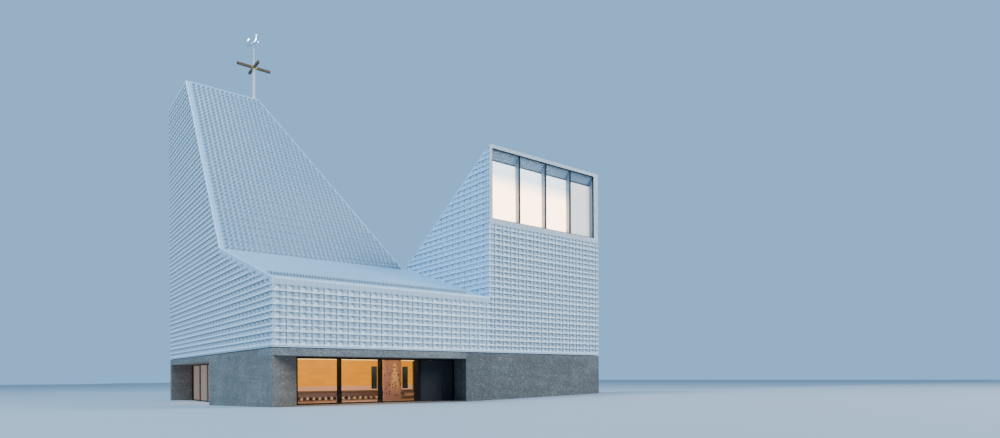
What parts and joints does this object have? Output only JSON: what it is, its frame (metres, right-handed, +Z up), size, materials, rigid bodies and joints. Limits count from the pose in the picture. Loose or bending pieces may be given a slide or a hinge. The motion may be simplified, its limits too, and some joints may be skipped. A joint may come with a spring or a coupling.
{
  "type": "modern church building",
  "caption": "Square church on a grey stone base, its white tiled body folding into a tall tower with mast and cross and a lower tower with a wide high window.",
  "frame": {"origin": "centre of the square plan at the lowest point where the walls meet the ground", "axes": "+Z up, -Y towards the front facade with the glass entrance and the high window, +X to the right seen from the front"},
  "size_m": [24.495, 24.495, 29.454],
  "materials": {
    "tiles": "white glazed relief tiles with a cool sheen",
    "roof_strips": "smooth pale strips and edge tiles",
    "stone": "grey pebbly conglomerate, honed",
    "pale_stone": "pale cast stone",
    "black_steel": "near-black satin coating",
    "clear_glass": "clear insulating glass",
    "lit_sheet": "translucent white sheet, lit from behind",
    "floor_stone": "honed floor slabs",
    "plaster": "smooth plaster, warmly lit",
    "gold_panel": "gold toned lining",
    "brown_wood": "stained wood",
    "pale_wood": "pale beige panels with a fine upright grain",
    "cream_steel": "cream painted steel tube",
    "bronze": "patinated bronze with gilt centre",
    "polished_steel": "mirror polished steel"
  },
  "bodies": {
    "building": {"front_low_wall": "tiles", "front_tower_wall": "tiles", "left_low_wall": "tiles", "left_tower_wall": "tiles", "back_tower_wall": "tiles", "back_low_wall": "tiles", "right_tower_wall": "tiles", "right_low_wall": "tiles", "tower_side_wall": "tiles", "tall_tower_front": "tiles", "tall_tower_side": "tiles", "low_front_roof": "roof_strips", "window_tower_roof": "roof_strips", "low_back_roof": "roof_strips", "tall_tower_top": "roof_strips", "front_lintel": "stone", "side_lintel": "stone", "left_base_wall": "stone", "front_base_wall": "stone", "right_base_wall": "stone", "back_base_wall": "stone", "entrance_paving": "stone", "high_window_frame": "pale_stone", "high_window_fins": "pale_stone", "entrance_frame": "black_steel", "side_frame": "black_steel", "high_window_bars": "black_steel", "entrance_glass": "clear_glass", "side_glass": "clear_glass", "high_window_glass": "clear_glass", "back_window_1": "clear_glass", "back_window_2": "clear_glass", "high_window_lit_sheet": "lit_sheet", "floor_slab": "floor_stone", "entrance_ceiling": "plaster", "gold_wall_lining": "gold_panel", "perforated_screen": "brown_wood", "bench_1": "brown_wood", "bench_2": "brown_wood", "bench_3": "brown_wood", "bench_4": "brown_wood", "side_panels": "pale_wood", "mast": "cream_steel", "vane_pin": "cream_steel", "cross": "bronze"},
    "door_left": {"door_leaf_left": "black_steel", "door_pull_left": "black_steel"},
    "door_right": {"door_leaf_right": "black_steel", "door_pull_right": "black_steel"},
    "vane": {"weathercock": "polished_steel"}
  },
  "joints": [
    {"name": "door_left_hinge", "type": "hinge", "parent": "building", "child": "door_left", "pos_m": [-2.3745, -10.6536, 1.587], "axis": [0, 0, -1], "range_deg": [0, 90]},
    {"name": "door_right_hinge", "type": "hinge", "parent": "building", "child": "door_right", "pos_m": [0.0354, -10.6536, 1.587], "axis": [0, 0, 1], "range_deg": [0, 80]},
    {"name": "weathercock_turn", "type": "hinge", "parent": "building", "child": "vane", "pos_m": [-7.0725, 6.5895, 28.3418], "axis": [0, 0, 1], "continuous": true}
  ]
}
